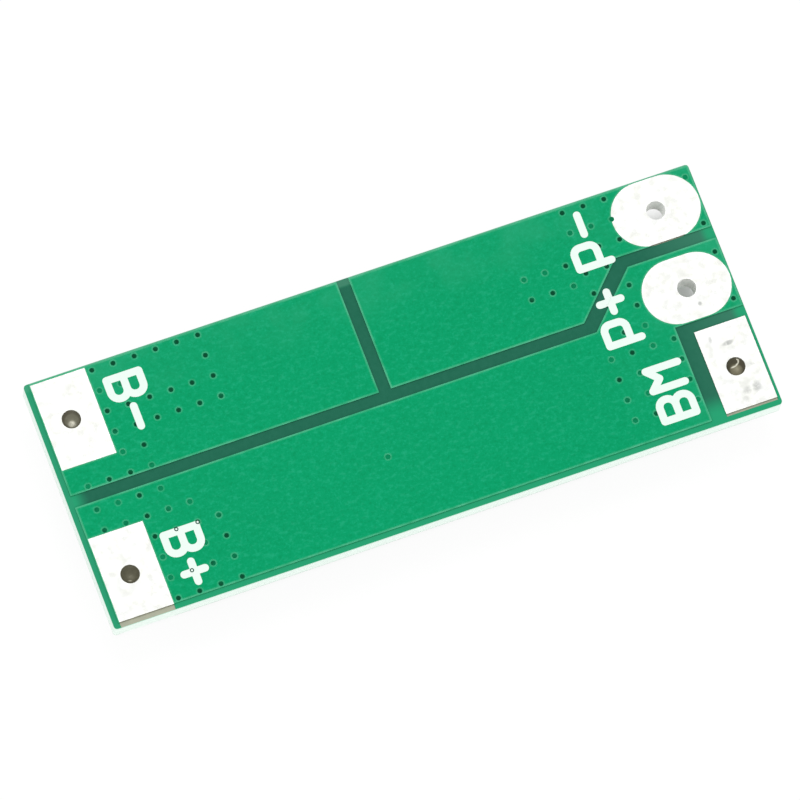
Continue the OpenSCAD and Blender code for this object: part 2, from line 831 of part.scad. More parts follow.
module pack_minus_pad() {
    color("gainsboro")
        tinned_pad(pack_minus_hole) {
            intersection() {
                rounded_window(pack_minus_hole);
                pack_minus_area();
            }
            intersection() {
                rounded_window(pack_minus_hole);
                pack_minus_patch();
            }
        }
}

module pack_plus_pad() {
    color("gainsboro")
        tinned_pad(pack_plus_hole) {
            rounded_window(pack_plus_hole);
            rounded_window(pack_plus_hole);
        }
}

// Solder drawn into a hole, hollow at both mouths
module wire_hole_solder() {
    ball_r = (hole_r * hole_r + solder_hollow * solder_hollow) / (2 * solder_hollow);
    rim = 0.1;
    color("darkkhaki")
        for (p = filled_holes)
            translate([p[0], p[1], land_level])
                difference() {
                    translate([0, 0, rim]) cylinder(r = hole_r, h = stack_t - 2 * rim);
                    for (mouth = [rim - ball_r + solder_hollow, stack_t - rim + ball_r - solder_hollow])
                        translate([0, 0, mouth]) sphere(ball_r, $fn = 96);
                }
}

// ---------- parts, drawn with the lands at z = 0 and z away from the board ----------

module hang(place, turn = 0) {
    translate([place[0], place[1], land_level]) mirror([0, 0, 1]) rotate(turn) children();
}

function moulding_profile(span, low, band_low, band_high, top) = let (
    h = span / 2,
    foot = h - moulding_draft * (band_low - low),
    crown = h - moulding_draft * (top - band_high)
) [[-foot, low], [foot, low], [h, band_low], [h, band_high], [crown, top], [-crown, top],
    [-h, band_high], [-h, band_low]];

// Moulded body, widest in a band at the height of its leads
module moulding(length, width, low, band_low, band_high, top) {
    intersection() {
        rotate([90, 0, 0]) linear_extrude(width + 1, center = true)
            polygon(moulding_profile(length, low, band_low, band_high, top));
        rotate([90, 0, 90]) linear_extrude(length + 1, center = true)
            polygon(moulding_profile(width, low, band_low, band_high, top));
    }
}

// Quarter of a bend, inside radius r, strip thickness t
module bend(r, t) {
    difference() {
        intersection() {
            circle(r + t);
            square(r + t);
        }
        circle(r);
    }
}

// A lead from the body's face at x = 0, over a rise, to its foot's tip at x = reach
module gull_lead(reach, rise, riser, t, r, width) {
    rotate([90, 0, 0])
        linear_extrude(width, center = true) {
            translate([0, rise]) square([riser - r, t]);
            translate([riser - r, rise - r]) bend(r, t);
            translate([riser, r + t]) square([t, rise - 2 * r - t]);
            translate([riser + t + r, r + t]) rotate(180) bend(r, t);
            translate([riser + t + r, 0]) square([reach - riser - t - r, t]);
        }
}

// Solder risen against an upright face at x = 0
module fillet(leg, width) {
    rotate([90, 0, 0])
        linear_extrude(width, center = true)
            difference() {
                square(leg);
                translate([leg + fillet_lip, leg + fillet_lip]) circle(leg);
            }
}

// ---------- power transistors: tab's end at x = 0, leads towards +X ----------

module transistor_tab() {
    linear_extrude(tab_t)
        polygon([
            [0, tab_corner - tab_w / 2], [tab_corner, -tab_w / 2], [tab_reach, -tab_w / 2],
            [tab_reach, -slug_w / 2], [slug_l, -slug_w / 2], [slug_l, slug_w / 2],
            [tab_reach, slug_w / 2], [tab_reach, tab_w / 2], [tab_corner, tab_w / 2],
            [0, tab_w / 2 - tab_corner]
        ]);
}

module transistor_body() {
    middle = tab_reach + transistor_body_l / 2;
    difference() {
        translate([middle, 0, 0])
            moulding(transistor_body_l, transistor_w, body_standoff, lead_exit_z,
                lead_exit_z + tab_t, transistor_h);
        transistor_tab();
        translate([middle, 0, transistor_h - ejector_depth])
            cylinder(r = ejector_r, h = overlap);
    }
}

module transistor_leads() {
    face = tab_reach + transistor_body_l;
    for (side = [-1, 1])
        translate([face, side * transistor_pitch, 0]) {
            gull_lead(transistor_l - face, lead_exit_z, lead_riser_x, tab_t, lead_bend_r, lead_w);
            translate([0, -lead_root_w / 2, lead_exit_z]) cube([lead_root_l, lead_root_w, tab_t]);
        }
    translate([face, -lead_root_w / 2, lead_exit_z]) cube([stub_l, lead_root_w, tab_t]);
}

module transistor_fillets() {
    for (side = [-1, 1])
        translate([transistor_l, side * transistor_pitch, 0]) fillet(lead_leg, lead_w);
    rotate(180) fillet(lead_leg, tab_w - 2 * tab_corner);
}

module discharge_transistor_body() { color("dimgray") hang(discharge_place, 180) transistor_body(); }
module discharge_transistor_tab() { color("lightgray") hang(discharge_place, 180) transistor_tab(); }
module discharge_transistor_leads() { color("silver") hang(discharge_place, 180) transistor_leads(); }
module charge_transistor_body() { color("dimgray") hang(charge_place) transistor_body(); }
module charge_transistor_tab() { color("lightgray") hang(charge_place) transistor_tab(); }
module charge_transistor_leads() { color("silver") hang(charge_place) transistor_leads(); }

// ---------- small packages ----------

module small_body(width) {
    difference() {
        moulding(small_body_l, width, small_standoff, small_lead_z, small_lead_z + small_lead_t,
            small_body_h);
        translate([pin_mark_inset[0] - small_body_l / 2, pin_mark_inset[1] - width / 2,
            small_body_h - pin_mark_depth])
            cylinder(r = pin_mark_r, h = overlap, $fn = 24);
    }
}

// Leads at the given columns on one side of a body
module small_leads(columns, width, span, side) {
    for (k = columns)
        translate([k * small_pitch, side * width / 2, 0])
            rotate(side * 90)
                gull_lead((span - width) / 2, small_lead_z, small_riser_x, small_lead_t,
                    small_bend_r, small_lead_w);
}

module six_leads() {
    for (side = [-1, 1])
        small_leads([-1, 0, 1], small_body_w, small_span, side);
}

module three_leads() {
    small_leads([0], slim_body_w, slim_span, 1);
    small_leads([-1, 1], slim_body_w, slim_span, -1);
}

module toe_fillets(columns, span, side) {
    for (k = columns)
        translate([k * small_pitch, side * span / 2, 0])
            rotate(side * 90) fillet(small_lead_t * 0.9, small_lead_w);
}

module protection_chip_body() { color("dimgray") hang(protection_spot) small_body(small_body_w); }
module protection_chip_leads() { color("silver") hang(protection_spot) six_leads(); }
module lower_balance_chip_body() { color("dimgray") hang(lower_spot) small_body(small_body_w); }
module lower_balance_chip_leads() { color("silver") hang(lower_spot) six_leads(); }
module upper_balance_chip_body() { color("dimgray") hang(upper_spot) small_body(small_body_w); }
module upper_balance_chip_leads() { color("silver") hang(upper_spot) six_leads(); }

module balance_transistor_bodies() {
    color("dimgray")
        for (place = [first_switch, second_switch])
            hang(place) small_body(slim_body_w);
}

module balance_transistor_leads() {
    color("silver")
        for (place = [first_switch, second_switch])
            hang(place) three_leads();
}

// ---------- chips, length across the board ----------

module at_chips(places) {
    for (p = places)
        hang(p, 90) children();
}

module block(length, width, low, high) {
    translate([-length / 2, -width / 2, low]) cube([length, width, high - low]);
}

module chip_core(length, width, height) {
    block(length - 2 * cap_t, width - 2 * cap_t, cap_t, height - cap_t);
}

module chip_ends(length, width, height, end_l) {
    difference() {
        block(length, width, 0, height);
        chip_core(length, width, height);
        block(length - 2 * end_l, width + 1, -1, height + 1);
    }
}

// Dark glaze over the resistive film, between the end metal
module chip_glaze(length, width, height, end_l) {
    block(length - 2 * end_l, width - 2 * cap_t - 2 * glaze_border, height - cap_t,
        height - cap_t + glaze_t);
}

module chip_fillets(length, width, leg) {
    for (turn = [0, 180])
        rotate(turn) translate([length / 2, 0, 0]) fillet(leg, width);
}

module bleed_resistor_cores() {
    color("white") at_chips(bleed_places) chip_core(bleed_l, bleed_w, bleed_h);
}

module bleed_resistor_glazes() {
    color("black") at_chips(bleed_places) chip_glaze(bleed_l, bleed_w, bleed_h, bleed_end_l);
}

module bleed_resistor_ends() {
    color("silver") at_chips(bleed_places) chip_ends(bleed_l, bleed_w, bleed_h, bleed_end_l);
}

module resistor_cores() {
    color("white") at_chips(resistor_places) chip_core(chip_l, chip_w, resistor_h);
}

module resistor_glazes() {
    color("black") at_chips(resistor_places) chip_glaze(chip_l, chip_w, resistor_h, chip_end_l);
}

module resistor_ends() {
    color("silver") at_chips(resistor_places) chip_ends(chip_l, chip_w, resistor_h, chip_end_l);
}

module capacitor_cores() {
    color("tan") at_chips(capacitor_places) chip_core(chip_l, chip_w, capacitor_h);
}

module capacitor_ends() {
    color("silver") at_chips(capacitor_places) chip_ends(chip_l, chip_w, capacitor_h, chip_end_l);
}

// ---------- solder ----------

// Tin on every land of the parts side
module land_tin() {
    color("lightgray") lower_layer(copper_t, copper_t + tin_t) land_areas(all_lands);
}

module solder_fillets() {
    color("silver") {
        hang(discharge_place, 180) transistor_fillets();
        hang(charge_place) transistor_fillets();
        for (place = [protection_spot, lower_spot, upper_spot])
            hang(place)
                for (side = [-1, 1])
                    toe_fillets([-1, 0, 1], small_span, side);
        for (place = [first_switch, second_switch])
            hang(place) {
                toe_fillets([0], slim_span, 1);
                toe_fillets([-1, 1], slim_span, -1);
            }
        at_chips(resistor_places) chip_fillets(chip_l, chip_w, resistor_leg);
        at_chips(capacitor_places) chip_fillets(chip_l, chip_w, capacitor_leg);
        at_chips(bleed_places) chip_fillets(bleed_l, bleed_w, bleed_leg);
    }
}

substrate();
terminal_side_mask();
parts_side_mask();
via_plugs();
battery_minus_pour();
pack_minus_pour();
positive_pour();
middle_tap_pour();
drain_pour();
signal_tracks();
battery_minus_pad();
battery_plus_pad();
middle_tap_pad();
pack_minus_pad();
pack_plus_pad();
land_tin();
wire_hole_solder();
solder_fillets();
discharge_transistor_body();
discharge_transistor_tab();
discharge_transistor_leads();
charge_transistor_body();
charge_transistor_tab();
charge_transistor_leads();
protection_chip_body();
protection_chip_leads();
lower_balance_chip_body();
lower_balance_chip_leads();
upper_balance_chip_body();
upper_balance_chip_leads();
balance_transistor_bodies();
balance_transistor_leads();
bleed_resistor_cores();
bleed_resistor_glazes();
bleed_resistor_ends();
resistor_cores();
resistor_glazes();
resistor_ends();
capacitor_cores();
capacitor_ends();
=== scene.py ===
"""Dresses the battery management board: mask, tin, solder, legend, parts, floor, light, camera."""
import bmesh
import bpy
import math
from mathutils import Matrix, Vector
from mathutils.bvhtree import BVHTree
from mathutils.geometry import delaunay_2d_cdt


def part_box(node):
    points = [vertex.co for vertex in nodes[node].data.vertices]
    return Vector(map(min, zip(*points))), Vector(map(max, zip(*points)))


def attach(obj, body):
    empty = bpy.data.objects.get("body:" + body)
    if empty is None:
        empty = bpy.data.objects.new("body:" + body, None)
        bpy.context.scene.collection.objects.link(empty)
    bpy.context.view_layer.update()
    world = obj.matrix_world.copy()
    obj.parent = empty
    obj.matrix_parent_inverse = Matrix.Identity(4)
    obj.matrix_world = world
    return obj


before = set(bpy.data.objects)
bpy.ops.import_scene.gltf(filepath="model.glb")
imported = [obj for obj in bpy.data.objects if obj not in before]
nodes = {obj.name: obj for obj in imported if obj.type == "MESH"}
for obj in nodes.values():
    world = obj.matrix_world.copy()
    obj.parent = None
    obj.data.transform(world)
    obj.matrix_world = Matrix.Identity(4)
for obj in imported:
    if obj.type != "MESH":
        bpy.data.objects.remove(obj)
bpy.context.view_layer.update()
scene = bpy.context.scene

MM = 0.001

# Outline and heights of the board, from its own solids
board_low, board_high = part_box("terminal_side_mask")
laminate_low, laminate_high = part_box("substrate")
tap_low, tap_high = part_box("middle_tap_pad")
left, right = board_low.x, board_high.x
near, far = board_low.y, board_high.y
mask_t = 0.025 * MM
mask_top = board_high.z
bare_top = laminate_high.z
gap_top = bare_top + mask_t
pad_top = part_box("battery_minus_pad")[1].z
parts_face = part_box("parts_side_mask")[0].z
parts_gap_face = laminate_low.z - mask_t

# Middle of the gap between the two negative pours, and middles of the three closed wire holes
split_x = -0.93 * MM
minus_hole = Vector((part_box("battery_minus_pad")[0].x + 1.53 * MM, far - 2.75 * MM))
plus_hole = Vector((minus_hole.x, near + 2.75 * MM))
tap_hole = Vector((right - 1.75 * MM, near + 2.91 * MM))


def spot(d, e):
    """A place d mm from the battery end and e mm from the negative edge."""
    return Vector((left + d * MM, far - e * MM))


# ---------- camera ----------

camera_place = Vector((-97.07, -144.57, 539.33)) * MM
camera_aim = Vector((-0.32, -0.22, 3.62)) * MM
camera_roll = math.radians(13.91)

camera_data = bpy.data.cameras.new("camera")
camera_data.lens = 450
camera_data.sensor_width = 36
camera_data.clip_start = 0.05
camera_data.clip_end = 10
camera = bpy.data.objects.new("camera", camera_data)
scene.collection.objects.link(camera)
forward = (camera_aim - camera_place).normalized()
level_right = forward.cross(Vector((0, 0, 1))).normalized()
level_up = level_right.cross(forward)
rolled_right = level_right * math.cos(camera_roll) + level_up * math.sin(camera_roll)
rolled_up = rolled_right.cross(forward)
camera.matrix_world = Matrix.Translation(camera_place) @ Matrix(
    (rolled_right, rolled_up, -forward)).transposed().to_4x4()
scene.camera = camera


# ---------- material tools ----------

def srgb(r, g, b):
    """A display colour, 0 to 255, as the shader's colour."""
    def linear(v):
        v /= 255
        return v / 12.92 if v <= 0.04045 else ((v + 0.055) / 1.055) ** 2.4
    return (linear(r), linear(g), linear(b), 1)


class Finish:
    """One procedural material on Object coordinates."""

    def __init__(self, name, roughness=0.5, metallic=0.0, specular=0.5):
        self.material = bpy.data.materials.new(name)
        self.material.use_nodes = True
        self.tree = self.material.node_tree
        self.surface = self.tree.nodes["Principled BSDF"]
        self.surface.inputs["Roughness"].default_value = roughness
        self.surface.inputs["Metallic"].default_value = metallic
        self.surface.inputs["Specular IOR Level"].default_value = specular
        self.place = self.node("ShaderNodeTexCoord").outputs["Object"]
        self.facing = self.place.node.outputs["Normal"]
        axes = self.node("ShaderNodeSeparateXYZ")
        self.tree.links.new(self.place, axes.inputs[0])
        self.x, self.y, self.z = axes.outputs

    def node(self, kind):
        return self.tree.nodes.new(kind)

    def feed(self, value, socket):
        """Links a socket or sets a value."""
        if isinstance(value, bpy.types.NodeSocket):
            self.tree.links.new(value, socket)
        else:
            socket.default_value = value

    def math(self, operation, a, b=0.0, c=0.0):
        n = self.node("ShaderNodeMath")
        n.operation = operation
        for value, socket in zip((a, b, c), n.inputs):
            self.feed(value, socket)
        return n.outputs[0]

    def step(self, value, start, end, low=0.0, high=1.0):
        """A smooth step of value from start to end."""
        n = self.node("ShaderNodeMapRange")
        n.interpolation_type = "SMOOTHSTEP"
        n.clamp = True
        for v, socket in zip((value, start, end, low, high), n.inputs):
            self.feed(v, socket)
        return n.outputs[0]

    def mix(self, share, a, b):
        """The colour a at share 0 and b at share 1."""
        n = self.node("ShaderNodeMix")
        n.data_type = "RGBA"
        self.feed(share, n.inputs[0])
        self.feed(a, n.inputs[6])
        self.feed(b, n.inputs[7])
        return n.outputs[2]

    def between(self, share, a, b):
        """The number a at share 0 and b at share 1."""
        return self.math("MULTIPLY_ADD", share, b - a, a)

    def largest(self, first, *others):
        for other in others:
            first = self.math("MAXIMUM", first, other)
        return first

    def stretched(self, sx, sy, sz, turn=0.0):
        """Object coordinates scaled along each axis, after a turn about Z."""
        n = self.node("ShaderNodeMapping")
        self.feed(self.place, n.inputs["Vector"])
        n.inputs["Scale"].default_value = (sx, sy, sz)
        n.inputs["Rotation"].default_value = (0, 0, turn)
        return n.outputs[0]

    def noise(self, grain_mm, detail=2.0, vector=None, rough=0.5):
        """Noise whose patches are about grain_mm across."""
        n = self.node("ShaderNodeTexNoise")
        self.feed(vector or self.place, n.inputs["Vector"])
        n.inputs["Scale"].default_value = 1 / (grain_mm * MM)
        n.inputs["Detail"].default_value = detail
        n.inputs["Roughness"].default_value = rough
        return n.outputs[0]

    def near_spot(self, centre, radius_mm, edge_mm):
        """1 within radius of a place on the board, fading over edge."""
        dx = self.math("SUBTRACT", self.x, centre.x)
        dy = self.math("SUBTRACT", self.y, centre.y)
        far_off = self.math("SQRT", self.math("ADD", self.math("MULTIPLY", dx, dx),
                                              self.math("MULTIPLY", dy, dy)))
        return self.step(far_off, (radius_mm + edge_mm) * MM, radius_mm * MM)

    def smear(self, centre, length_mm, width_mm, turn=0.0):
        """1 in the middle of a soft oval, 0 outside it."""
        n = self.node("ShaderNodeMapping")
        n.vector_type = "TEXTURE"
        self.feed(self.place, n.inputs["Vector"])
        n.inputs["Location"].default_value = (centre.x, centre.y, 0)
        n.inputs["Rotation"].default_value = (0, 0, turn)
        n.inputs["Scale"].default_value = (length_mm * MM, width_mm * MM, 1)
        reach = self.node("ShaderNodeVectorMath")
        reach.operation = "LENGTH"
        self.feed(n.outputs[0], reach.inputs[0])
        return self.step(reach.outputs["Value"], 0.5, 0.15)

    def along_edges(self, radius_mm):
        """How near a point is to an edge of its piece: 0 on open faces, up to 1 at an edge."""
        n = self.node("ShaderNodeBevel")
        n.samples = 6
        n.inputs["Radius"].default_value = radius_mm * MM
        flat = self.node("ShaderNodeNewGeometry").outputs["Normal"]
        turn = self.node("ShaderNodeVectorMath")
        turn.operation = "DISTANCE"
        self.feed(n.outputs[0], turn.inputs[0])
        self.feed(flat, turn.inputs[1])
        return self.step(turn.outputs["Value"], 0.0, 0.75)

    def colour(self, value):
        self.feed(value, self.surface.inputs["Base Color"])

    def roughness(self, value):
        self.feed(value, self.surface.inputs["Roughness"])

    def bump(self, height, depth_mm, strength=1.0):
        n = self.node("ShaderNodeBump")
        n.inputs["Strength"].default_value = strength
        n.inputs["Distance"].default_value = depth_mm * MM
        self.feed(height, n.inputs["Height"])
        self.feed(n.outputs[0], self.surface.inputs["Normal"])


def wear(finish, *names):
    """Puts a finish on CAD nodes."""
    for name in names:
        for s in nodes[name].material_slots:
            s.material = finish.material


# ---------- finishes ----------

def mask_over_copper(f):
    """Bright green with fine streaks and grain, paler towards the far side and the pack end as a
    painted sheen, and thin and pale along the edges of the foil, the paleness there and round the
    vias and pads partly a painted highlight."""
    green = f.mix(f.noise(3.2, 3), srgb(0, 155, 100), srgb(0, 160, 105))
    streaks = f.noise(0.34, 3, f.stretched(0.8, 1.4, 1, math.radians(35)), 0.6)
    green = f.mix(f.step(streaks, 0.5, 0.74, 0, 0.6), green, srgb(34, 172, 125))
    green = f.mix(f.step(streaks, 0.48, 0.28, 0, 0.5), green, srgb(0, 147, 92))
    grain = f.noise(0.15, 2, rough=0.8)
    green = f.mix(f.step(grain, 0.52, 0.75, 0, 0.7), green, srgb(24, 172, 124))
    green = f.mix(f.step(grain, 0.48, 0.28, 0, 0.55), green, srgb(0, 142, 88))
    # Painted sheen: paler towards the far side and the pack end, in broad patches
    sheen_far = f.step(f.y, far - 4 * MM, far - 0.3 * MM, 0, 0.4)
    sheen_right = f.step(f.x, right - 10 * MM, right, 0, 0.5)
    patches = f.step(f.noise(2.6, 3), 0.4, 0.62, 0.2, 1)
    pale = f.math("MULTIPLY", f.largest(sheen_far, sheen_right), patches)
    green = f.mix(pale, green, srgb(46, 166, 120))
    # Pale along every edge of the mask: partly where the mask thins over the foil, partly a painted
    # highlight
    thin_edge_and_highlight = f.math("MULTIPLY", f.along_edges(0.15), f.step(f.noise(0.9, 2), 0.35, 0.6, 0.5, 1))
    return f.mix(thin_edge_and_highlight, green, srgb(96, 190, 150))


def mask_over_laminate(f):
    """Dark green, bright where light comes through the laminate near its cut edges."""
    dark = f.mix(f.noise(0.3, 2), srgb(28, 100, 76), srgb(40, 110, 87))
    dark = f.mix(f.step(f.x, right - 5 * MM, right - 0.5 * MM, 0, 0.6), dark, srgb(66, 134, 108))
    left_end = f.step(f.x, left + 1.3 * MM, left + 0.3 * MM)
    near_side = f.step(f.y, near + 1.9 * MM, near + 0.6 * MM)
    # Less light reaches in beside the tap pad
    beside_tap = f.step(f.y, tap_high.y, tap_high.y - 0.2 * MM)
    right_end = f.step(f.x, f.between(beside_tap, right - 0.95 * MM, right - 0.3 * MM),
                       f.between(beside_tap, right - 0.35 * MM, right - 0.04 * MM))
    # The gap between the negative pours stays darker up to the far edge
    from_split = f.math("ABSOLUTE", f.math("SUBTRACT", f.x, split_x))
    far_side = f.math("MULTIPLY", f.step(f.y, far - 0.55 * MM, far - 0.35 * MM),
                      f.step(from_split, 0.32 * MM, 0.4 * MM, 0.25, 1))
    lit = f.mix(f.step(f.y, far - 0.55 * MM, far - 0.3 * MM),
                srgb(38, 160, 113), srgb(112, 188, 154))
    dark = f.mix(f.largest(left_end, right_end, near_side, far_side), dark, lit)
    return f.mix(f.step(f.x, left + 0.42 * MM, left + 0.3 * MM, 0, 0.8), dark, srgb(44, 153, 112))


def mask_finish(name, copper_face, laminate_face):
    """Green mask, told apart over copper and over bare laminate by its height."""
    f = Finish(name, roughness=0.42, specular=0.03)
    middle = (copper_face + laminate_face) / 2
    outward = math.copysign(MM, copper_face - laminate_face)
    raised = f.step(f.z, middle - 0.03 * outward, middle - 0.015 * outward)
    f.colour(f.mix(raised, mask_over_laminate(f), mask_over_copper(f)))
    f.bump(f.noise(0.22, 3), 0.006)
    return f


wear(mask_finish("green_mask_terminal_side", mask_top, gap_top), "terminal_side_mask")
wear(mask_finish("green_mask_parts_side", parts_face, parts_gap_face), "parts_side_mask")


def via_ink_finish():
    """Mask sunk into the vias: nearly black green with painted shade in some, almost level and
    bright in others, with a painted highlight round each rim. Fewer are bright on the far half and
    in the rows by the near edge."""
    f = Finish("via_ink_painted_shade", roughness=0.5, specular=0.04)
    # Painted shade: more vias nearly black on the far half and in the rows by the near edge
    shaded_rows = f.largest(f.step(f.y, 0.0, 1.5 * MM, 0, 0.11),
                       f.step(f.y, near + 1.6 * MM, near + 1.0 * MM, 0, 0.11))
    level = f.step(f.math("SUBTRACT", f.noise(1.7, 0), shaded_rows), 0.36, 0.64)
    body = f.mix(level, srgb(0, 72, 45), srgb(0, 136, 88))
    # Painted highlight round the rim of each via
    f.colour(f.mix(f.along_edges(0.08), body, srgb(8, 148, 100)))
    f.bump(f.noise(0.1), 0.01)
    return f


wear(via_ink_finish(), "via_plugs")


def laminate_finish():
    """Cut glass epoxy: near-white mint on the sawn edge, which glows faintly as painted light,
    beige grey on its bare face.
    """
    f = Finish("sawn_laminate", roughness=0.7, specular=0.3)
    fibres = f.noise(0.12, 4, f.stretched(0.35, 0.35, 3.2))
    side = f.mix(fibres, srgb(232, 252, 242), srgb(248, 255, 250))
    side = f.mix(f.step(f.z, bare_top - 0.2 * MM, bare_top - 0.02 * MM), side, srgb(186, 234, 212))
    face = f.mix(f.noise(0.5, 3), srgb(160, 166, 148), srgb(184, 184, 162))
    upright = f.node("ShaderNodeSeparateXYZ")
    f.feed(f.facing, upright.inputs[0])
    flat = f.step(f.math("ABSOLUTE", upright.outputs[2]), 0.4, 0.6)
    f.colour(f.mix(flat, side, face))
    # Painted light: the sawn edge glows faintly in its own colour
    f.feed(side, f.surface.inputs["Emission Color"])
    f.feed(f.step(flat, 1, 0, 0, 0.12), f.surface.inputs["Emission Strength"])
    f.bump(fibres, 0.02, 0.6)
    return f


wear(laminate_finish(), "substrate")


def tin_finish():
    """Levelled white tin, paler inside the holes, with faint handling marks on the tap pad."""
    f = Finish("white_tin", roughness=0.42, metallic=0.55)
    base = f.mix(f.step(f.noise(0.9, 4), 0.35, 0.65), srgb(205, 206, 201), srgb(211, 212, 210))
    base = f.mix(f.step(f.z, pad_top - 0.02 * MM, pad_top - 0.1 * MM), base, srgb(250, 251, 248))
    marks = 0.0
    # Share across and along the tap pad, length and width in mm, turn, strength
    for across, along, length, width, turn, strength in (
            (0.23, 0.86, 0.3, 0.6, -0.1, 0.45), (0.52, 0.765, 0.95, 0.38, 0.1, 0.8),
            (0.53, 0.185, 0.8, 0.6, 0.2, 0.45), (0.72, 0.19, 0.75, 0.85, -0.3, 0.6),
            (0.8, 0.45, 0.45, 0.25, -0.4, 0.35), (0.45, 0.1, 0.5, 0.4, 0.3, 0.3)):
        centre = Vector((tap_low.x + across * (tap_high.x - tap_low.x),
                         tap_low.y + along * (tap_high.y - tap_low.y)))
        mark = f.math("MULTIPLY", f.smear(centre, length, width, turn), strength)
        marks = f.largest(marks, mark)
    marks = f.math("MULTIPLY", marks, f.step(f.noise(0.16, 3), 0.3, 0.6, 0.55, 1))
    speck = f.near_spot(spot(37.86, 8.04), 0.05, 0.12)
    marks = f.largest(marks, f.math("MULTIPLY", speck, 0.6))
    f.colour(f.mix(marks, base, srgb(128, 130, 128)))
    f.roughness(f.step(f.noise(0.4, 3), 0.3, 0.7, 0.36, 0.5))
    f.bump(f.noise(0.18, 3), 0.004)
    return f


wear(tin_finish(), "battery_minus_pad", "battery_plus_pad", "middle_tap_pad", "pack_minus_pad",
     "pack_plus_pad", "land_tin")


def hole_solder_finish():
    """Drawn-in solder under old flux: each hole a little different, with painted shade on the walls
    and painted highlights.
    """
    f = Finish("fluxed_solder_painted_light", roughness=0.45, metallic=0.35)
    grain = f.noise(0.22, 3)

    def beside(hole, dx, dy):
        return hole + Vector((dx, dy)) * MM

    def within(hole):
        return f.near_spot(hole, 0.6, 0.1)

    # Battery plus: dark, with one painted highlight low on the wall
    shade = f.mix(grain, srgb(74, 72, 55), srgb(94, 91, 71))

    # Battery minus: painted shade on the wall round a paler dish with a painted highlight patch
    dish = f.mix(grain, srgb(94, 92, 74), srgb(120, 118, 101))
    highlight_patch = f.math("MULTIPLY", f.near_spot(beside(minus_hole, -0.02, -0.24), 0.1, 0.2),
                   f.step(f.noise(0.09, 2), 0.35, 0.6, 0.45, 1))
    dish = f.mix(highlight_patch, dish, srgb(190, 188, 172))
    inner = f.near_spot(beside(minus_hole, 0.03, -0.04), 0.34, 0.14)
    shade = f.mix(within(minus_hole), shade, f.mix(inner, srgb(84, 80, 64), dish))

    # Painted highlight low on the battery plus hole's wall
    low_highlight = f.smear(beside(plus_hole, -0.1, -0.31), 0.3, 0.12, -0.35)
    shade = f.mix(f.math("MULTIPLY", low_highlight, 0.8), shade, srgb(176, 172, 152))

    # Middle tap: painted shade round its edge, paler lower middle, and a painted highlight in a
    # hook from the left of the dish up towards its right wall
    in_tap = within(tap_hole)
    shade = f.mix(in_tap, shade, f.mix(grain, srgb(58, 54, 36), srgb(80, 76, 56)))
    middle = f.near_spot(beside(tap_hole, -0.02, -0.15), 0.28, 0.14)
    shade = f.mix(f.math("MULTIPLY", middle, in_tap), shade,
                  f.mix(grain, srgb(104, 99, 78), srgb(126, 121, 98)))
    glint = f.largest(f.smear(beside(tap_hole, -0.07, 0.08), 0.5, 0.13, 0.12),
                      f.smear(beside(tap_hole, 0.14, 0.15), 0.4, 0.13, 0.5),
                      f.smear(beside(tap_hole, 0.27, 0.27), 0.34, 0.12, 1.15),
                      f.smear(beside(tap_hole, 0.25, 0.38), 0.22, 0.09, 2.2))
    f.colour(f.mix(f.math("MULTIPLY", glint, in_tap), shade, srgb(216, 214, 196)))
    f.bump(f.noise(0.3, 2), 0.02)
    return f


wear(hole_solder_finish(), "wire_hole_solder")


def named(ending):
    """The CAD nodes whose names end so."""
    return [name for name in nodes if name.endswith(ending)]


def grained_finish(name, dark, light, roughness, grain_mm, metallic=0.0, detail=2):
    """Two close tones in a fine grain."""
    f = Finish(name, roughness=roughness, metallic=metallic)
    grain = f.noise(grain_mm, detail)
    f.colour(f.mix(grain, srgb(*dark), srgb(*light)))
    f.bump(grain, 0.004)
    return f


wear(grained_finish("bright_solder", (196, 198, 200), (226, 228, 229), 0.22, 0.25, 0.9, 3),
     "solder_fillets", "resistor_ends", "capacitor_ends", "bleed_resistor_ends")
wear(grained_finish("tinned_lead_frame", (182, 184, 186), (208, 210, 211), 0.36, 0.12, 0.9, 3),
     *named("_leads"), *named("_tab"))
# Dark grey olive foil edges: the thin line they show beside the pads is painted shade
wear(grained_finish("tinned_foil_edge_painted_shade", (128, 124, 104), (156, 150, 130), 0.5, 0.3, 0.5, 3),
     *named("_pour"), "signal_tracks")
wear(grained_finish("white_alumina", (224, 222, 216), (238, 237, 232), 0.6, 0.08),
     "resistor_cores", "bleed_resistor_cores")
wear(grained_finish("tan_ceramic", (150, 122, 92), (172, 143, 110), 0.5, 0.1), "capacitor_cores")
wear(grained_finish("black_glaze", (16, 16, 18), (30, 30, 33), 0.25, 0.15),
     "resistor_glazes", "bleed_resistor_glazes")


def moulding_finish():
    """Moulded epoxy: charcoal, faintly speckled, satin."""
    f = Finish("moulded_epoxy", roughness=0.55, specular=0.4)
    speckle = f.noise(0.06, 2)
    f.colour(f.mix(speckle, srgb(30, 30, 32), srgb(52, 52, 54)))
    f.roughness(f.step(f.noise(0.5, 2), 0.3, 0.7, 0.48, 0.62))
    f.bump(speckle, 0.012)
    return f


wear(moulding_finish(), *named("_body"), *named("_bodies"))


def legend_finish():
    """White ink with a faint green cast."""
    f = Finish("white_legend_ink", roughness=0.6, specular=0.3)
    f.colour(f.mix(f.noise(0.35, 3), srgb(228, 249, 238), srgb(243, 251, 246)))
    f.bump(f.noise(0.15, 3), 0.003)
    return f


def via_wall_finish():
    """Dark green of a via's wall under thin ink."""
    f = Finish("via_wall_ink", roughness=0.5, specular=0.04)
    f.colour(f.mix(f.noise(0.1), srgb(30, 74, 58), srgb(58, 104, 86)))
    return f


legend_ink = legend_finish()


# ---------- legend ----------

stroke = 0.44
b_turn, p_turn = 0.46, 0.4
legend_low = mask_top - 0.004 * MM
legend_high = pad_top - 0.0015 * MM


def to_object(bm, name):
    mesh = bpy.data.meshes.new(name)
    bm.to_mesh(mesh)
    bm.free()
    obj = bpy.data.objects.new(name, mesh)
    scene.collection.objects.link(obj)
    return obj


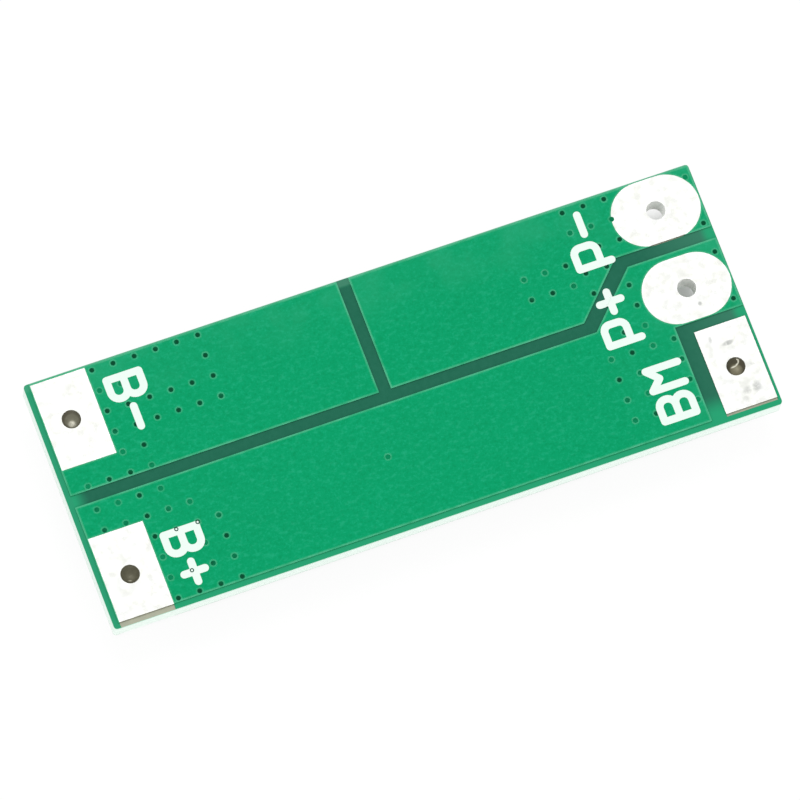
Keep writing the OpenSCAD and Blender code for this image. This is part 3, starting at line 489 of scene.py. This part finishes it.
def line_outline(points, width):
    """Outline of a line of one width along points, with round ends, counterclockwise."""
    cap_steps = 10
    left_side, right_side = [], []
    for i, p in enumerate(points):
        before = (p - points[i - 1]).normalized() if i else None
        after = (points[i + 1] - p).normalized() if i + 1 < len(points) else None
        way = ((before or after) + (after or before)).normalized()
        side = Vector((-way.y, way.x)) * (width / 2 / way.dot(after or before))
        left_side.append(p + side)
        right_side.append(p - side)
    outline = list(left_side)
    for end, start in ((points[-1], left_side[-1]), (points[0], right_side[0])):
        arm = start - end
        for i in range(1, cap_steps):
            outline.append(end + Matrix.Rotation(-math.pi * i / cap_steps, 2) @ arm)
        if end is points[-1]:
            outline += reversed(right_side)
    return outline[::-1]


def raised(outlines, low, high):
    """One closed solid over all the ground that the outlines cover together."""
    # Corners are put on a fine grid in mm, so that those that should meet do
    digits = 3
    corners, loops = [], []
    for outline in outlines:
        loops.append(range(len(corners), len(corners) + len(outline)))
        corners += [Vector((round(p.x / MM, digits), round(p.y / MM, digits))) for p in outline]
    merge = 1e-4
    ground, _, triangles, _, _, covers = delaunay_2d_cdt(
        corners, [], [list(loop) for loop in loops], 1, merge)
    triangles = [t for t, cover in zip(triangles, covers) if cover]
    bm = bmesh.new()
    lower = [bm.verts.new((p.x * MM, p.y * MM, low)) for p in ground]
    upper = [bm.verts.new((p.x * MM, p.y * MM, high)) for p in ground]
    edges = {(t[i - 1], t[i]) for t in triangles for i in range(3)}
    for t in triangles:
        bm.faces.new([upper[i] for i in t])
        bm.faces.new([lower[i] for i in reversed(t)])
    for i, j in sorted(edges):
        if (j, i) not in edges:
            bm.faces.new((lower[i], lower[j], upper[j], upper[i]))
    bmesh.ops.delete(bm, geom=[v for v in bm.verts if not v.link_faces], context="VERTS")
    return bm


def drape(obj, cell):
    """Cuts ink into cells and lets it follow the mask down into the gap between the pours."""
    mask_skin = BVHTree.FromObject(nodes["terminal_side_mask"],
                                   bpy.context.evaluated_depsgraph_get())
    bm = bmesh.new()
    bm.from_mesh(obj.data)
    for axis in (0, 1):
        places = [v.co[axis] for v in bm.verts]
        start = min(places)
        normal = Vector((1 - axis, axis, 0))
        for i in range(int((max(places) - start) / cell)):
            bmesh.ops.bisect_plane(bm, geom=bm.verts[:] + bm.edges[:] + bm.faces[:], dist=1e-8,
                                   plane_co=normal * (start + (i + 0.5) * cell), plane_no=normal)
    # Ink lies on the highest mask within reach, so that no edge of the foil cuts through it
    reach = 1.5 * cell
    down = Vector((0, 0, -1))
    around = [Vector((0, 0, 0))] + [Vector((math.cos(t), math.sin(t), 0)) * reach
                                    for t in (math.radians(45 * i) for i in range(8))]
    for v in bm.verts:
        above = Vector((v.co.x, v.co.y, pad_top + MM))
        hits = [mask_skin.ray_cast(above + side, down)[0] for side in around]
        heights = [hit.z for hit in hits if hit is not None and hit.z > bare_top]
        if heights:
            v.co.z -= mask_top - max(heights)
    bm.to_mesh(obj.data)
    bm.free()


# Letters are centre lines in mm, u to the right and v up, given by their outer size

def arc(u, v, radius, start, end, steps=6):
    """Points on a turn about (u, v), from start to end degrees."""
    turns = [math.radians(start + (end - start) * i / steps) for i in range(steps + 1)]
    return [(u + radius * math.cos(t), v + radius * math.sin(t)) for t in turns]


def bowl(w, low, high, radius):
    """A bowl from the stem and back, between two heights."""
    turns = arc(w - radius, high - radius, radius, 90, 0)
    back = arc(w - radius, low + radius, radius, 0, -90)
    return [(0, high)] + turns + back + [(0, low)]


def letter_b(width, height):
    w, h = width - stroke, height - stroke
    return [[(0, 0), (0, h)], bowl(w, h / 2, h, b_turn), bowl(w, 0, h / 2, b_turn)]


def letter_p(width, height, waist):
    w, h = width - stroke, height - stroke
    return [[(0, 0), (0, h)], bowl(w, waist - stroke / 2, h, p_turn)]


def letter_m(width, height, dip):
    w, h = width - stroke, height - stroke
    tip = (w / 2, dip - stroke / 2)
    return [[(0, 0), (0, h)], [(0, h), tip], [tip, (w, h)], [(w, h), (w, 0)]]


def minus_sign(length):
    return [[(0, 0), (length - stroke, 0)]]


def plus_sign(length, span):
    w, h = length - stroke, span - stroke
    return [[(0, 0), (w, 0)], [(w / 2, -h / 2), (w / 2, h / 2)]]


def mark(lines, corner, reads_down):
    """Outlines of a mark's strokes, with its lower left outer corner at a place on the board. Marks
    by the battery end read down the board, marks by the pack end read up it."""
    along = Vector((0, -1)) if reads_down else Vector((0, 1))
    up = Vector((1, 0)) if reads_down else Vector((-1, 0))
    start = corner + (along + up) * (stroke / 2 * MM)
    return [line_outline([start + along * (u * MM) + up * (v * MM) for u, v in line], stroke * MM)
            for line in lines]


# Marks that lie all on copper, and the two pack marks, which cross the gap between the pours
level_marks = [
    *mark(letter_b(1.68, 2.37), spot(4.30, 1.06), True),
    *mark(minus_sign(1.68), spot(5.25, 2.95), True),
    *mark(letter_b(1.67, 2.38), spot(4.20, 10.66), True),
    *mark(plus_sign(1.67, 1.68), spot(5.145, 12.56), True),
    *mark(letter_m(1.67, 2.38, 1.54), spot(35.63, 12.27), False),
    *mark(letter_b(1.68, 2.36), spot(35.61, 14.16), False)]
crossing_marks = [
    *mark(letter_p(1.67, 2.37, 0.82), spot(34.28, 4.15), False),
    *mark(minus_sign(1.64), spot(33.34, 2.235), False),
    *mark(letter_p(1.67, 2.37, 0.84), spot(34.27, 8.98), False),
    *mark(plus_sign(1.66, 1.70), spot(33.31, 7.08), False)]

terminal_marks = to_object(raised(level_marks, legend_low, legend_high), "terminal_marks")
pack_marks = to_object(raised(crossing_marks, legend_low, legend_high), "pack_marks")
drape(pack_marks, 0.08 * MM)
for piece in (terminal_marks, pack_marks):
    piece.data.materials.append(legend_ink.material)
    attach(piece, "root")


def via_centre(place):
    """Middle of the filled via nearest to a place on the board."""
    reach = 0.4 * MM
    near_by = [v.co.xy for v in nodes["via_plugs"].data.vertices
               if v.co.z > bare_top and (v.co.xy - place).length < reach]
    return sum(near_by, Vector((0, 0))) / len(near_by)


def ink_dots(name, finish, radius, top):
    """A round dot over each via that prints through the ink of the lower marks."""
    bm = bmesh.new()
    for place in (spot(5.29, 10.72), spot(6.50, 10.72), spot(5.25, 13.35)):
        centre = via_centre(place)
        made = bmesh.ops.create_cone(bm, cap_ends=True, segments=24, radius1=radius, radius2=radius,
                                     depth=top - legend_low)
        bmesh.ops.translate(bm, verts=made["verts"],
                            vec=(centre.x, centre.y, (legend_low + top) / 2))
    dots = to_object(bm, name)
    dots.data.materials.append(finish.material)
    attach(dots, "root")


# A dark wall round a pale middle
ink_dots("inked_via_walls", via_wall_finish(), 0.125 * MM, pad_top - 0.0008 * MM)
ink_dots("inked_via_middles", legend_ink, 0.06 * MM, pad_top - 0.0002 * MM)


# ---------- floor and light ----------

def floor_finish():
    """White floor, seen as it is lit under the board and almost as plain white in the open."""
    f = Finish("white_floor")
    matt = f.node("ShaderNodeBsdfDiffuse")
    matt.inputs["Color"].default_value = (0.8, 0.8, 0.79, 1)
    white = f.node("ShaderNodeEmission")
    white.inputs["Strength"].default_value = 1.04
    path = f.node("ShaderNodeLightPath")
    seen = f.largest(path.outputs["Is Camera Ray"], path.outputs["Is Glossy Ray"])
    # How far a place lies past the board's outline, below 0 under the board
    past = f.largest(f.math("SUBTRACT", f.math("ABSOLUTE", f.x), right),
                     f.math("SUBTRACT", f.math("ABSOLUTE", f.y), far))
    open_share = f.step(past, -2.2 * MM, -0.35 * MM, 0.1, 0.9)
    both = f.node("ShaderNodeMixShader")
    f.feed(f.math("MULTIPLY", seen, open_share), both.inputs[0])
    f.feed(matt.outputs[0], both.inputs[1])
    f.feed(white.outputs[0], both.inputs[2])
    f.feed(both.outputs[0], f.tree.nodes["Material Output"].inputs["Surface"])
    f.tree.nodes.remove(f.surface)
    return f


floor_size = 3
floor_drop = 0.02 * MM
ground = bmesh.new()
bmesh.ops.create_grid(ground, x_segments=1, y_segments=1, size=floor_size)
bmesh.ops.translate(ground, verts=ground.verts, vec=(0, 0, -floor_drop))
floor = to_object(ground, "floor")
floor.data.materials.append(floor_finish().material)


def light_sky(light_level, seen_level):
    """White world: one level as light, and another as the camera and reflections see it."""
    world = bpy.data.worlds.new("studio")
    world.use_nodes = True
    scene.world = world
    tree = world.node_tree
    path = tree.nodes.new("ShaderNodeLightPath")
    seen = tree.nodes.new("ShaderNodeMath")
    seen.operation = "MAXIMUM"
    level = tree.nodes.new("ShaderNodeMapRange")
    level.inputs["To Min"].default_value = light_level
    level.inputs["To Max"].default_value = seen_level
    sky = tree.nodes["Background"]
    sky.inputs["Color"].default_value = (1, 1, 1, 1)
    for source, socket in ((path.outputs["Is Camera Ray"], seen.inputs[0]),
                           (path.outputs["Is Glossy Ray"], seen.inputs[1]),
                           (seen.outputs[0], level.inputs["Value"]),
                           (level.outputs["Result"], sky.inputs["Strength"])):
        tree.links.new(source, socket)


def add_lamp(name, azimuth, elevation, distance, size, power):
    """A round soft lamp that faces the board."""
    data = bpy.data.lights.new(name, "AREA")
    data.shape = "DISK"
    data.size = size
    data.energy = power
    lamp = bpy.data.objects.new(name, data)
    a, e = math.radians(azimuth), math.radians(elevation)
    way = Vector((math.cos(e) * math.cos(a), math.cos(e) * math.sin(a), math.sin(e)))
    lamp.location = way * distance
    lamp.rotation_euler = way.to_track_quat("Z", "Y").to_euler()
    scene.collection.objects.link(lamp)


light_sky(0.72, 1.0)
add_lamp("key_lamp", 75, 62, 0.9, 0.5, 2.6)
add_lamp("edge_lamp", -112, 24, 0.9, 0.6, 1.2)

scene.view_settings.view_transform = "Standard"
